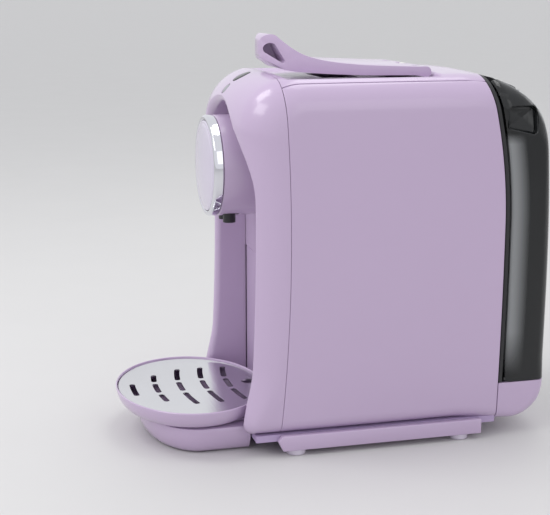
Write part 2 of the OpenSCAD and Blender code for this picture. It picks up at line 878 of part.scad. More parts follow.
module water_tank() {
  grip_depth = 5;
  color(smoke) difference() {
    union() {
      difference() {
        tank_body(0);
        tank_body(tank_t);
      }
      // pockets behind the finger recesses
      intersection() {
        tank_body(0);
        union() for (s = [-1, 1])
          across_x(grip_depth + 2*tank_t, s*(half_w - (grip_depth + 2*tank_t)/2 + tank_t/2))
            offset(delta=tank_t) grip_2d();
      }
      // valve neck with its spring cage
      bar_z(tank_z + 0.4, tank_z + 10, 0, valve_y, 8);
      for (s = [-1, 1]) box([s*7.9 - 0.6, valve_y - 2.5, tank_z + 6], [s*7.9 + 0.6, valve_y + 2.5, tank_z + 22]);
      box([-8.5, valve_y - 2.5, tank_z + 20.5], [8.5, valve_y + 2.5, tank_z + 22]);
      // lugs for the lid pin
      for (s = [-1, 1]) intersection() {
        tank_body(0);
        box([s > 0 ? 40 : -46, lid_pin_y - 4, lid_pin_z - 4], [s > 0 ? 46 : -40, lid_pin_y + 12, lid_pin_z + 30]);
      }
    }
    // mouth and the seat that the lid lies in; the front wall stays
    difference() {
      box([-56, 80, 225], [56, lid_pin_y - 4, 260]);
      intersection() {
        casing(tank_t + 0.2);
        ahead_of_joint(tank_gap + tank_t);
      }
    }
    box([-39.5, lid_pin_y - 5, 225], [39.5, lid_pin_y + 4.4, 260]);
    bar_z(30, tank_z + 10.05, 0, valve_y, 5);
    bar_x(-60, 60, lid_pin_y, lid_pin_z, 1.5);
    for (s = [-1, 1]) across_x(grip_depth, s*(half_w - grip_depth/2 + 0.5)) grip_2d();
  }
}

module lid_pin() {
  color(steel) bar_x(-46, 46, lid_pin_y, lid_pin_z, 1.5);
}

module tank_lid() {
  color(dark) difference() {
    union() {
      intersection() {
        difference() {
          casing(0);
          casing(2.4);
        }
        difference() {
          box([-55.6, 60, 235], [55.6, lid_pin_y - 6.2, 260]);
          ahead_of_joint(tank_gap + 0.2);
        }
      }
      // knuckle bar at the rear
      bar_x(-39, 39, lid_pin_y, lid_pin_z, 3.2);
      intersection() {
        casing(0);
        box([-39, lid_pin_y - 7, lid_pin_z], [39, lid_pin_y - 0.4, 260]);
      }
    }
    bar_x(-60, 60, lid_pin_y, lid_pin_z, 1.55);
  }
}

module tank_valve() {
  color(dark) union() {
    bar_z(tank_z + 10.1, tank_z + 12, 0, valve_y, 7);
    bar_z(tank_z - 2, tank_z + 11, 0, valve_y, 2);
    bar_z(tank_z - 2, tank_z - 0.4, 0, valve_y, 3.2);
  }
}

// Coil spring as a swept tube
module valve_spring() {
  turns = 4;
  steps = 14;
  sides = 6;
  r = 5.6;
  wire = 0.5;
  z0 = tank_z + 12.7;
  z1 = tank_z + 19.8;
  n = turns*steps;
  pts = [for (i = [0:n]) let (a = 360*i/steps, z = z0 + (z1 - z0)*i/n)
    for (j = [0:sides - 1]) let (b = 360*j/sides)
      [(r + wire*cos(b))*cos(a), valve_y + (r + wire*cos(b))*sin(a), z + wire*sin(b)]];
  side_faces = [for (i = [0:n - 1]) for (j = [0:sides - 1])
    [i*sides + j, i*sides + (j + 1)%sides, (i + 1)*sides + (j + 1)%sides, (i + 1)*sides + j]];
  ends = [[for (j = [sides - 1:-1:0]) j], [for (j = [0:sides - 1]) n*sides + j]];
  color(steel) polyhedron(points=pts, faces=concat(side_faces, ends));
}

// ---------- buttons ----------

module button(i) {
  color([0.85, 0.85, 0.88]) union() {
    intersection() {
      at_button(i, hood_r - 3.7) cylinder(h=8, r=button_r[i], $fn=48);
      casing();
    }
    at_button(i, hood_r - 5.3) cylinder(h=2.6, r=1.6, $fn=32);
  }
}
module brew_button() {
  button(0);
}
module power_button() {
  button(1);
}

side_panel_left();
side_panel_right();
front_bezel();
niche_liner();
top_cover();
rear_base();
tank_dock();
base_plate();
skid_left();
skid_right();
feet();
tray_holder();
head_shell();
head_ring();
head_cap();
coffee_spout();
outlet_plate();
outlet_gasket();
brew_frame_left();
brew_frame_right();
frame_spacers();
brew_sleeve();
capsule_chute();
idler_shaft();
lever_pin();
boiler();
thermostat();
pump();
pump_mounts();
flow_meter();
flow_meter_cover();
control_board();
button_board();
suction_hose();
pump_hose();
pressure_hose();
brew_hose();
dock_seal();
cord_gland();
base_screws();
lever_handle();
lever_gear();
idler_gear();
brew_piston();
piston_seal();
drip_tray();
capsule_bin();
drip_grate();
water_tank();
lid_pin();
tank_lid();
tank_valve();
valve_spring();
brew_button();
power_button();
flow_rotor();
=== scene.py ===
import json
import math

import bmesh
import bpy
import numpy as np
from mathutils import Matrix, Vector

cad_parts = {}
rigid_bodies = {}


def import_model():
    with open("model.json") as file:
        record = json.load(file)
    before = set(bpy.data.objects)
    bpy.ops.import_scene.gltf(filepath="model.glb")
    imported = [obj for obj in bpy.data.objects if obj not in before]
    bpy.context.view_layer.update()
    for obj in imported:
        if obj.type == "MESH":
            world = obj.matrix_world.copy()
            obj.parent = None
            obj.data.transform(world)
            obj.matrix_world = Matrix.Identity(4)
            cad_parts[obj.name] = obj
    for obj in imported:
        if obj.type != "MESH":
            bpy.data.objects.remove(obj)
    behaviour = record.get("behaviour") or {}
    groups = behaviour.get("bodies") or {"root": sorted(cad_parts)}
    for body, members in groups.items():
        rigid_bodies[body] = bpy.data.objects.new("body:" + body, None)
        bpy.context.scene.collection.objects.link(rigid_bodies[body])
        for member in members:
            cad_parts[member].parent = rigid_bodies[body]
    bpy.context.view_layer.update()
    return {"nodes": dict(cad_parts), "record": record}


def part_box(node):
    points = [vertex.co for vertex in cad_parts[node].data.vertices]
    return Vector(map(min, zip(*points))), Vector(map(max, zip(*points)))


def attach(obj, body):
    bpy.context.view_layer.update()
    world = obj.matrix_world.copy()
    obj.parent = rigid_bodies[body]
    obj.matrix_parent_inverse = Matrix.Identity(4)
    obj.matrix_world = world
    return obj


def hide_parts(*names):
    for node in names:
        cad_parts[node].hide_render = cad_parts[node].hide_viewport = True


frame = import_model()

MM = 0.001
# Main sizes in millimetres, in the frame of the CAD model: front at -Y, tank at +Y, +Z up
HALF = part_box("side_panel_right")[1].x/MM
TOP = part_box("top_cover")[1].z/MM
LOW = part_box("front_bezel")[0].z/MM
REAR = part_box("water_tank")[1].y/MM
FRONT = -79.0
HOOD_R = 36.0
ARCH_R, ARCH_Z = 60.0, 170.0
HEAD_Z = 187.0
PIVOT_Y, PIVOT_Z = 57.5, 250.5
TRAY_Y, TRAY_RX, TRAY_RY = -97.5, 66.0, 51.5
JOINT_Y, JOINT_Z, JOINT_R = 105.0, 150.0, 365.0
TANK_Z = 39.0
TANK_GAP = 3.8


# ---------- the smooth outer surface of the casing ----------

def smooth(a, b, v):
    t = np.clip((v - a)/(b - a), 0, 1)
    return t*t*(3 - 2*t)


def rmax(a, b, r):
    """Larger of two distances, with the corner between them rounded to radius r."""
    u, v = np.maximum(a + r, 0), np.maximum(b + r, 0)
    return np.minimum(np.maximum(a, b) + r, 0) + np.sqrt(u*u + v*v) - r


BELLY = np.polyfit([15, 100, 215], [-5, 1.5, 0], 2)
SEAM = np.polyfit([19, 150, 246], [-49.5, -44, -47.5], 2)


def casing(x, y, z):
    """Negative inside the casing, zero on its surface."""
    side = np.abs(x) - (HALF - 3.5*((z - 130)/115)**2 - 0.8*((y - 20)/100)**2)
    top = z - (TOP - 1.5*(x/62)**2)
    front = FRONT + x*x/458 + np.polyval(BELLY, np.clip(z, 15, 215)) - y
    rear = y - (REAR - np.maximum(z - 100, 0)**2/1478)
    crown = y - (REAR - x*x/616)
    low = LOW - 3.5*smooth(70, 108, y) - z
    s = rmax(rmax(rmax(top, front, HOOD_R), rear, 51), crown, 14)
    s = rmax(s, low, 8 + 20*smooth(40, 110, y))
    edge = (9 + 12*smooth(18, 60, z))*(1 - 0.6*smooth(95, 128, y))
    return rmax(s, side, edge)


def leave(path, far=170.0, shell=casing):
    """How far along each path it leaves the shell. path(r) gives x, y, z."""
    shape = np.broadcast(*path(0.0)).shape
    lo, hi = np.zeros(shape), np.full(shape, far)
    for _ in range(32):
        mid = (lo + hi)/2
        inside = shell(*path(mid)) < 0
        lo, hi = np.where(inside, mid, lo), np.where(inside, hi, mid)
    return lo


def seam_y(z):
    """Seam between the front bezel and the side panels."""
    return np.polyval(SEAM, z)


def joint_y(z):
    """Leaning joint in front of the tank."""
    up = np.clip(z - JOINT_Z, 0, 110)
    return JOINT_Y - JOINT_R + np.sqrt(JOINT_R**2 - up**2)


def tank_skin(x, y, z):
    """The casing behind the joint, with the tank's front edges rounded."""
    return rmax(casing(x, y, z), joint_y(z) + TANK_GAP - y, 7)


def stack(x, y, z):
    return np.stack(np.broadcast_arrays(x, y, z), -1)


# ---------- meshes ----------

def finish_mesh(ob, sharp=38):
    """Applies the modifiers and sets smooth shading with sharp edges by angle."""
    graph = bpy.context.evaluated_depsgraph_get()
    mesh = bpy.data.meshes.new_from_object(ob.evaluated_get(graph))
    ob.modifiers.clear()
    old, ob.data = ob.data, mesh
    bpy.data.meshes.remove(old)
    mesh.shade_smooth()
    mesh.set_sharp_from_angle(angle=math.radians(sharp))


def piece(name, verts, faces, look, slot, body="housing", stands=(), solid=0.0, bevel=0.0,
          cut=(), seen_from=None, sharp=38, weld=0.004):
    """One visible piece from millimetre points, riding on a CAD body.
    seen_from is a point inside the piece, which the outer side faces away from."""
    mesh = bpy.data.meshes.new(name)
    mesh.from_pydata([tuple(v*MM for v in p) for p in verts], [], faces)
    bm = bmesh.new()
    bm.from_mesh(mesh)
    bmesh.ops.remove_doubles(bm, verts=bm.verts, dist=weld*MM)
    bmesh.ops.dissolve_degenerate(bm, edges=bm.edges, dist=weld*MM/2)
    if seen_from is None:
        bmesh.ops.recalc_face_normals(bm, faces=bm.faces)
    else:
        inner = Vector(seen_from)*MM
        if sum(f.calc_area()*f.normal.dot(f.calc_center_median() - inner) for f in bm.faces) < 0:
            bmesh.ops.reverse_faces(bm, faces=bm.faces)
    bm.to_mesh(mesh)
    bm.free()
    ob = bpy.data.objects.new(name, mesh)
    bpy.context.scene.collection.objects.link(ob)
    mesh.materials.append(look)
    if solid:
        m = ob.modifiers.new("wall", "SOLIDIFY")
        m.thickness, m.offset = solid*MM, -1
    for k, (cv, cf) in enumerate(cut):
        tool = bpy.data.meshes.new(f"{name}_cut{k}")
        tool.from_pydata([tuple(v*MM for v in p) for p in cv], [], cf)
        tb = bmesh.new()
        tb.from_mesh(tool)
        bmesh.ops.recalc_face_normals(tb, faces=tb.faces)
        tb.to_mesh(tool)
        tb.free()
        tool_ob = bpy.data.objects.new(f"{name}_cut{k}", tool)
        bpy.context.scene.collection.objects.link(tool_ob)
        m = ob.modifiers.new("cut", "BOOLEAN")
        m.operation, m.solver, m.object = "DIFFERENCE", "EXACT", tool_ob
    if bevel:
        m = ob.modifiers.new("edge", "BEVEL")
        m.width, m.segments, m.limit_method = bevel*MM, 3, "ANGLE"
        m.angle_limit, m.harden_normals = math.radians(40), False
    finish_mesh(ob, sharp)
    for o in [o for o in bpy.data.objects if o.name.startswith(name + "_cut")]:
        bpy.data.objects.remove(o)
    if stands:
        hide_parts(*stands)
    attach(ob, body)
    return ob


def sheet(P, wrap=False, keep=None):
    """Quads over a grid of points. wrap joins the last column to the first."""
    n, m = P.shape[:2]
    cols = m if wrap else m - 1
    faces = []
    for i in range(n - 1):
        for j in range(cols):
            if keep is None or keep(i, j):
                k = (j + 1) % m
                faces.append((i*m + j, i*m + k, (i + 1)*m + k, (i + 1)*m + j))
    return P.reshape(-1, 3), faces


def lathe(profile, centre, axis, steps=96, squeeze=1.0, closed=False):
    """Turns (radius, along) points about an axis through centre. squeeze narrows the second radius."""
    w = Vector(axis).normalized()
    u = Vector((1, 0, 0)) if abs(w.x) < 0.9 else Vector((0, 1, 0))
    v = w.cross(u).normalized()
    u, v, w = (np.array(k) for k in (u, v, w))
    a = np.linspace(0, 2*math.pi, steps, endpoint=False)
    prof = list(profile) + ([profile[0]] if closed else [])
    P = np.array([[np.array(centre) + r*math.cos(t)*u + r*math.sin(t)*squeeze*v + h*w for t in a]
                  for r, h in prof])
    return sheet(P, wrap=True)


def prism(outline, lo, hi, axis="z"):
    """Outline pushed along an axis: (x, y) for z, (y, z) for x."""
    n = len(outline)
    place = {"z": lambda p, h: (p[0], p[1], h), "x": lambda p, h: (h, p[0], p[1]),
             "y": lambda p, h: (p[0], h, p[1])}[axis]
    verts = [place(p, lo) for p in outline] + [place(p, hi) for p in outline]
    faces = [tuple(range(n))[::-1], tuple(range(n, 2*n))]
    faces += [(i, (i + 1) % n, n + (i + 1) % n, n + i) for i in range(n)]
    return verts, faces


def loft(rings):
    """Closed rings of points joined one to the next, with flat ends."""
    m = len(rings[0])
    verts = [p for ring in rings for p in ring]
    faces = [(i*m + j, i*m + (j + 1) % m, (i + 1)*m + (j + 1) % m, (i + 1)*m + j)
             for i in range(len(rings) - 1) for j in range(m)]
    last = (len(rings) - 1)*m
    faces += [tuple(range(m))[::-1], tuple(range(last, last + m))]
    return verts, faces


def join(*shapes):
    verts, faces = [], []
    for v, f in shapes:
        base = len(verts)
        verts += [tuple(p) for p in v]
        faces += [tuple(base + i for i in face) for face in f]
    return verts, faces


def arc(c, r, a0, a1, n):
    return [(c[0] + r*math.cos(math.radians(t)), c[1] + r*math.sin(math.radians(t)))
            for t in np.linspace(a0, a1, n + 1)]


def spline(points, per=6):
    """Smooth open curve through points."""
    p = np.array([points[0]] + list(points) + [points[-1]], float)
    out = []
    for i in range(1, len(p) - 2):
        for t in np.linspace(0, 1, per, endpoint=False):
            out.append(0.5*((2*p[i]) + (p[i + 1] - p[i - 1])*t
                            + (2*p[i - 1] - 5*p[i] + 4*p[i + 1] - p[i + 2])*t*t
                            + (3*p[i] - p[i - 1] - 3*p[i + 1] + p[i + 2])*t**3))
    return [tuple(q) for q in out] + [tuple(points[-1])]


# ---------- materials ----------

def linear(r, g, b):
    def one(c):
        c /= 255
        return c/12.92 if c <= 0.04045 else ((c + 0.055)/1.055)**2.4
    return (one(r), one(g), one(b), 1.0)


def look(name, rgb, rough, metal=0.0, vary=0.03, vary_scale=9.0, rough_vary=0.06, grain=300.0,
         bump=0.05, stretch=(1, 1, 1), coat=0.0, coat_rough=0.08, spec=0.5, wear=0.0, alpha=1.0,
         scuff=0.0):
    """Procedural finish: colour drift, uneven gloss, fine relief, worn edges and faint scuffs."""
    m = bpy.data.materials.new(name)
    m.use_nodes = True
    t = m.node_tree
    t.nodes.clear()
    new, link = t.nodes.new, t.links.new
    out = new("ShaderNodeOutputMaterial")
    b = new("ShaderNodeBsdfPrincipled")
    link(b.outputs["BSDF"], out.inputs["Surface"])
    b.inputs["Metallic"].default_value = metal
    b.inputs["Coat Weight"].default_value = coat
    b.inputs["Coat Roughness"].default_value = coat_rough
    b.inputs["Specular IOR Level"].default_value = spec
    b.inputs["IOR"].default_value = 1.5
    b.inputs["Alpha"].default_value = alpha
    where = new("ShaderNodeTexCoord")
    scale = new("ShaderNodeMapping")
    scale.inputs["Scale"].default_value = stretch
    link(where.outputs["Object"], scale.inputs["Vector"])

    def noise(size, detail=3.0, flat=False):
        n = new("ShaderNodeTexNoise")
        n.inputs["Scale"].default_value = size
        n.inputs["Detail"].default_value = detail
        link((where.outputs["Object"] if flat else scale.outputs["Vector"]), n.inputs["Vector"])
        return n.outputs["Fac"]

    def spread(value, lo, hi, a=0.3, z=0.7):
        r = new("ShaderNodeMapRange")
        r.inputs["From Min"].default_value, r.inputs["From Max"].default_value = a, z
        r.inputs["To Min"].default_value, r.inputs["To Max"].default_value = lo, hi
        link(value, r.inputs["Value"])
        return r.outputs["Result"]

    def mix(fac, a, c):
        n = new("ShaderNodeMix")
        n.data_type = "RGBA"
        link(fac, n.inputs["Factor"])
        for sock, val in (("A", a), ("B", c)):
            s = [i for i in n.inputs if i.name == sock and i.type == "RGBA"][0]
            if isinstance(val, tuple):
                s.default_value = val
            else:
                link(val, s)
        return [o for o in n.outputs if o.type == "RGBA"][0]

    base = linear(*rgb)
    dark = tuple(c*(1 - vary*2.2) for c in base[:3]) + (1.0,)
    pale = tuple(min(1, c*(1 + vary)) for c in base[:3]) + (1.0,)
    colour = mix(spread(noise(vary_scale, 4.0, True), 0, 1), dark, pale)
    if wear:
        geo = new("ShaderNodeNewGeometry")
        edge = spread(geo.outputs["Pointiness"], 0, wear, 0.53, 0.62)
        worn = tuple(min(1, c*1.22 + 0.03) for c in base[:3]) + (1.0,)
        colour = mix(edge, colour, worn)
    link(colour, b.inputs["Base Color"])
    gloss = spread(noise(grain*0.08, 4.0), max(0.02, rough - rough_vary), rough + rough_vary, 0.1, 0.9)
    if scuff:
        fine = spread(noise(grain*0.5, 6.0), 0, scuff, 0.62, 0.72)
        add = new("ShaderNodeMath")
        add.operation, add.use_clamp = "ADD", True
        link(gloss, add.inputs[0])
        link(fine, add.inputs[1])
        gloss = add.outputs[0]
    link(gloss, b.inputs["Roughness"])
    relief = new("ShaderNodeBump")
    relief.inputs["Strength"].default_value = bump
    relief.inputs["Distance"].default_value = 0.0004
    link(noise(grain, 2.0), relief.inputs["Height"])
    link(relief.outputs["Normal"], b.inputs["Normal"])
    return m


LILAC = look("lilac_gloss", (193, 172, 202), 0.30, coat=0.6, coat_rough=0.10, vary=0.006,
             vary_scale=5.0, rough_vary=0.03, bump=0.012, grain=520)
PEARL = look("pearl_gloss", (208, 200, 218), 0.24, coat=0.5, coat_rough=0.1, vary=0.015,
             rough_vary=0.03, bump=0.02, grain=420)
LOOKS = {
    "lilac_plastic": LILAC,
    "pearl_plastic": PEARL,
    "black_plastic": look("black_satin", (27, 27, 30), 0.42, bump=0.12, grain=900, wear=0.4, scuff=0.05),
    "black_gloss": look("black_gloss_plastic", (16, 16, 19), 0.16, bump=0.02, wear=0.3, coat=0.4),
    "base_plastic": look("base_lilac_satin", (176, 156, 192), 0.45, bump=0.12, grain=900, wear=0.3, scuff=0.05),
    "foot_rubber": look("pale_foot_rubber", (214, 205, 221), 0.62, bump=0.25, grain=1500, vary=0.04),
    "foot_rubber_dark": look("dark_rubber", (34, 34, 34), 0.75, bump=0.3, grain=1500, vary=0.08),
    "chrome_trim": look("chrome", (226, 226, 232), 0.07, metal=1.0, rough_vary=0.03, bump=0.01, vary=0.01, scuff=0.03),
    "grate_steel": look("brushed_grate_steel", (222, 222, 225), 0.20, metal=1.0, rough_vary=0.09,
                        bump=0.12, grain=260, stretch=(0.15, 6, 1), vary=0.03, scuff=0.06),
    "steel": look("satin_steel", (188, 188, 192), 0.34, metal=1.0, rough_vary=0.08, bump=0.1,
                  grain=300, stretch=(1, 1, 8), vary=0.05),
    "silicone": look("red_silicone", (150, 58, 44), 0.55, bump=0.15, grain=1200, vary=0.05),
    "cast_aluminium": look("cast_aluminium", (178, 180, 183), 0.46, metal=1.0, bump=0.5, grain=1100, vary=0.06),
    "ceramic": look("ceramic_white", (228, 222, 207), 0.4, bump=0.2, grain=1400, vary=0.03),
    "pump_brass": look("turned_brass", (190, 152, 84), 0.3, metal=1.0, bump=0.1, grain=500, stretch=(1, 8, 1), vary=0.05),
    "nylon": look("white_nylon", (222, 222, 214), 0.42, bump=0.1, grain=900, vary=0.03, wear=0.3),
    "circuit_board": look("green_laminate", (28, 92, 54), 0.35, bump=0.3, grain=1400, stretch=(1, 1, 1), vary=0.12),
    "hose_silicone": look("clear_hose", (214, 214, 208), 0.38, bump=0.05, grain=600, vary=0.03, alpha=0.82),
    "hose_white": look("white_hose", (229, 229, 224), 0.36, bump=0.05, grain=600, vary=0.03),
    "smoke_tank": look("smoke_tank_wall", (22, 24, 26), 0.12, rough_vary=0.03, bump=0.015, grain=300,
                       vary=0.06, alpha=0.88, coat=0.15, coat_rough=0.05, scuff=0.02),
    "button_dark": look("button_black", (24, 24, 27), 0.2, bump=0.03, wear=0.3, coat=0.3),
    "button_grey": look("button_grey_gloss", (150, 150, 156), 0.22, bump=0.03, wear=0.3, coat=0.3),
    "rotor_blue": look("rotor_blue_nylon", (48, 74, 124), 0.4, bump=0.1, vary=0.05),
}



def paint_tank_highlight(m, rgb, width):
    """Painted highlight: a paler band painted into the tank's colour along the leaning joint and below the finger
    recess, standing in for light on the tank's rounded front edge, fading over a width in mm.
    """
    t = m.node_tree
    base = [n for n in t.nodes if n.type == "BSDF_PRINCIPLED"][0].inputs["Base Color"]
    before = base.links[0].from_socket

    def calc(op, a, b=0.0):
        n = t.nodes.new("ShaderNodeMath")
        n.operation = op
        for sock, val in zip(n.inputs, (a, b)):
            if isinstance(val, (int, float)):
                sock.default_value = val
            else:
                t.links.new(val, sock)
        return n.outputs[0]

    def fade(v, lo, hi):
        n = t.nodes.new("ShaderNodeMapRange")
        n.inputs["From Min"].default_value, n.inputs["From Max"].default_value = lo, hi
        t.links.new(v, n.inputs["Value"])
        return n.outputs["Result"]
    place = t.nodes.new("ShaderNodeSeparateXYZ")
    t.links.new(t.nodes.new("ShaderNodeTexCoord").outputs["Object"], place.inputs[0])
    y, z = place.outputs[1], place.outputs[2]
    up = calc("MAXIMUM", calc("SUBTRACT", z, JOINT_Z*MM), 0.0)
    lean = calc("SQRT", calc("SUBTRACT", (JOINT_R*MM)**2, calc("MULTIPLY", up, up)))
    behind = calc("SUBTRACT", y, calc("ADD", lean, (JOINT_Y - JOINT_R + TANK_GAP + 3)*MM))
    # where the painted highlight band lies: behind the joint, above the tank's floor and below the finger recess
    painted_highlight_mask = calc("MULTIPLY", fade(behind, width*MM, 0.0), fade(z, 0.045, 0.075))
    painted_highlight_mask = calc("MULTIPLY", painted_highlight_mask, fade(z, 0.211, 0.204))
    n = t.nodes.new("ShaderNodeMix")
    n.data_type = "RGBA"
    ins = {i.name: i for i in n.inputs if i.type == "RGBA"}
    t.links.new(painted_highlight_mask, n.inputs["Factor"])
    t.links.new(before, ins["A"])
    ins["B"].default_value = linear(*rgb)
    t.links.new([o for o in n.outputs if o.type == "RGBA"][0], base)


# painted highlight: a pale band painted into the smoky tank's colour along its rounded front edge
paint_tank_highlight(LOOKS["smoke_tank"], (150, 152, 154), 11)

for part in frame["record"]["subparts"]:
    node = frame["nodes"][part["node"]]
    node.data.materials.clear()
    node.data.materials.append(LOOKS[part["material_slot"]])


def soften(node, width):
    """Rounds the edges of a CAD node that stays in sight."""
    ob = frame["nodes"][node]
    weld = ob.modifiers.new("weld", "WELD")
    weld.merge_threshold = 0.00001
    m = ob.modifiers.new("edge", "BEVEL")
    m.width, m.segments, m.limit_method = width*MM, 2, "ANGLE"
    m.angle_limit = math.radians(50)


# ---------- camera, lights and floor ----------

YAW, PITCH = 0.256, 0.215
camera_data = bpy.data.cameras.new("camera")
camera_data.lens, camera_data.sensor_width = 81.16, 36.0
camera = bpy.data.objects.new("camera", camera_data)
bpy.context.scene.collection.objects.link(camera)
camera.location = (0.8235, -0.2508, 0.306)
aim = Vector((-math.cos(YAW)*math.cos(PITCH), math.sin(YAW)*math.cos(PITCH), -math.sin(PITCH)))
camera.rotation_euler = aim.to_track_quat("-Z", "Y").to_euler()
bpy.context.scene.camera = camera
bpy.context.scene.view_settings.view_transform = "Standard"


def softbox(name, place, target, size, power):
    data = bpy.data.lights.new(name, "AREA")
    data.shape, data.size, data.size_y = "RECTANGLE", size[0], size[1]
    data.energy = power
    ob = bpy.data.objects.new(name, data)
    ob.location = place
    ob.rotation_euler = (Vector(target) - Vector(place)).to_track_quat("-Z", "Y").to_euler()
    bpy.context.scene.collection.objects.link(ob)


softbox("key_front_above", (0.35, -1.25, 1.15), (0, -0.02, 0.15), (0.75, 0.45), 3.8)
softbox("fill_side", (1.75, 0.5, 1.0), (0, 0.02, 0.12), (0.8, 1.0), 1.6)
softbox("hood_glow", (-0.16, -0.66, 1.12), (0.04, -0.05, 0.24), (0.4, 0.42), 2.5)
softbox("top_soft", (-0.2, 0.22, 1.3), (0.05, 0.05, 0.24), (0.4, 0.9), 2.2)
softbox("rear_rim", (-0.5, 1.5, 0.8), (0, 0, 0.12), (0.6, 0.8), 1.5)

world = bpy.data.worlds.new("studio")
bpy.context.scene.world = world
world.use_nodes = True
world.node_tree.nodes["Background"].inputs["Color"].default_value = (0.96, 0.97, 1.0, 1.0)
world.node_tree.nodes["Background"].inputs["Strength"].default_value = 0.89

rings = [(0.0, 0.0)] + [(r, 0.0) for r in (600, 1500, 4000, 12000, 40000)]
floor_mesh = bpy.data.meshes.new("floor")
fv, ff = lathe(rings, (0, 0, 0), (0, 0, 1), 64)
floor_mesh.from_pydata([tuple(c*MM for c in p) for p in fv], [], ff)
floor = bpy.data.objects.new("floor", floor_mesh)
bpy.context.scene.collection.objects.link(floor)
floor_mesh.materials.append(look("studio_floor", (212, 211, 210), 0.6, vary=0.004, bump=0.0, spec=0.2))


# ---------- side panels ----------

def side_panel(s):
    feet = [(61, 27, a) for a in np.linspace(-90, 0, 11)]
    feet += [(61, z, 0) for z in np.linspace(27, 222, 38)[1:-1]]
    feet += [(62.2, 222, a) for a in np.linspace(0, 90, 19)]
    cx, cz, a = (np.array(k)[:, None] for k in zip(*feet))
    a = np.radians(a)
    u = np.linspace(0, 1, 48)[None, :]

    def path(r):
        z = cz + r*np.sin(a)
        y0, y1 = seam_y(z) + 0.3, joint_y(z) - 0.2
        return cx + r*np.cos(a), y0 + u*(y1 - y0), z
    x, y, z = path(leave(path))
    return sheet(stack(s*x, y, z))


for word, s in (("left", -1), ("right", 1)):
    v, f = side_panel(s)
    piece(f"panel_{word}", v, f, LILAC, "lilac_plastic", stands=[f"side_panel_{word}"],
          solid=2.3, bevel=0.45, seen_from=(0, 20, 130))


# ---------- front bezel with the niche walls, and the back of the niche ----------

def niche_rows(z_low, arch_steps, leg_steps, low_rows=()):
    """Base point and outward direction of each row, up one leg, over the arch and down the other."""
    leg = list(low_rows) + list(np.linspace(z_low, ARCH_Z, leg_steps))
    rows = [(0, z, 1, 0) for z in leg]
    rows += [(0, ARCH_Z, math.cos(t), math.sin(t)) for t in np.linspace(0, math.pi, arch_steps)[1:-1]]
    rows += [(0, z, -1, 0) for z in leg[::-1]]
    return [np.array(k)[:, None] for k in zip(*rows)]


def bezel():
    bx, bz, nx, nz = niche_rows(26, 81, 34, (15.02, 15.15, 15.5, 16.1, 17, 18.3, 20, 22.5))
    core = 62.0
    phi = np.radians(np.linspace(0, 84, 36))[None, :]
    start = seam_y(np.clip(bz + 85*nz, 15, 251))

    def path(r, p=phi):
        n = core + r*np.cos(p)
        return bx + n*nx, start - r*np.sin(p), bz + n*nz
    for _ in range(3):
        out = leave(lambda r: path(r, 0.0*bx))
        start = seam_y(bz + (core + out)*nz)
    r = leave(path)
    n, y = core + r*np.cos(phi), start - r*np.sin(phi)
    n_end, y_end = n[:, -1:], y[:, -1:]
    fillet = n_end - ARCH_R
    t = np.radians(np.linspace(0, 90, 8))[None, 1:]
    n2, y2 = ARCH_R + fillet*(1 - np.sin(t)), y_end + fillet*(1 - np.cos(t))
    back = np.linspace(0, 1, 10)[None, 1:]
    y3 = y2[:, -1:] + back*(-42.4 - y2[:, -1:])
    n3 = np.full_like(y3, ARCH_R)
    n, y = np.hstack([n, n2, n3]), np.hstack([y, y2, y3])
    return sheet(stack(bx + n*nx, y, bz + n*nz))


def hood_axis(angle):
    a = math.radians(angle)
    return (0, FRONT + HOOD_R, TOP - HOOD_R), (0, -math.cos(a), math.sin(a))


def bore(angle, radius):
    c, w = hood_axis(angle)
    return lathe([(0, HOOD_R - 9), (radius, HOOD_R - 9), (radius, HOOD_R + 4), (0, HOOD_R + 4)], c, w, 48)


v, f = bezel()
piece("bezel", v, f, LILAC, "lilac_plastic", stands=["front_bezel"], solid=2.2,
      seen_from=(0, 20, 130), cut=[bore(64, 6.8), bore(42, 4.3)])


def niche_back():
    """Flat back of the niche, from the collar of the head's opening out to the niche walls."""
    corner = math.atan2(118 - HEAD_Z, ARCH_R)
    a = np.unique(np.r_[np.linspace(-math.pi, math.pi, 121), corner, -math.pi - corner])[:-1]
    c, s = np.cos(a), np.sin(a)
    lift = HEAD_Z - ARCH_Z
    arch = -s*lift + np.sqrt((s*lift)**2 + ARCH_R**2 - lift**2)
    above = HEAD_Z + arch*s >= ARCH_Z
    side = (ARCH_R/np.maximum(np.abs(c), 1e-6))
    floor_ = np.where(s < 0, (118 - HEAD_Z)/np.minimum(s, -1e-6), 1e9)
    far = np.where(above, arch, np.minimum(side, floor_)) - 0.05
    near = 34.7
    steps = [(0, 1.6), (0, -0.6), (0.01, -1.0), (0.05, -1.2), (0.12, -0.9), (0.2, -0.2), (0.3, 0), (0.6, 0), (1, 0)]
    P = [stack((near + k*(far - near))*c, -42.2 + d, HEAD_Z + (near + k*(far - near))*s) for k, d in steps]
    return sheet(np.array(P), wrap=True)


v, f = niche_back()
piece("niche_back", v, f, LILAC, "lilac_plastic", stands=["niche_liner"], solid=2.0, seen_from=(0, 20, 180))


# ---------- top cover with the recess for the lever ----------

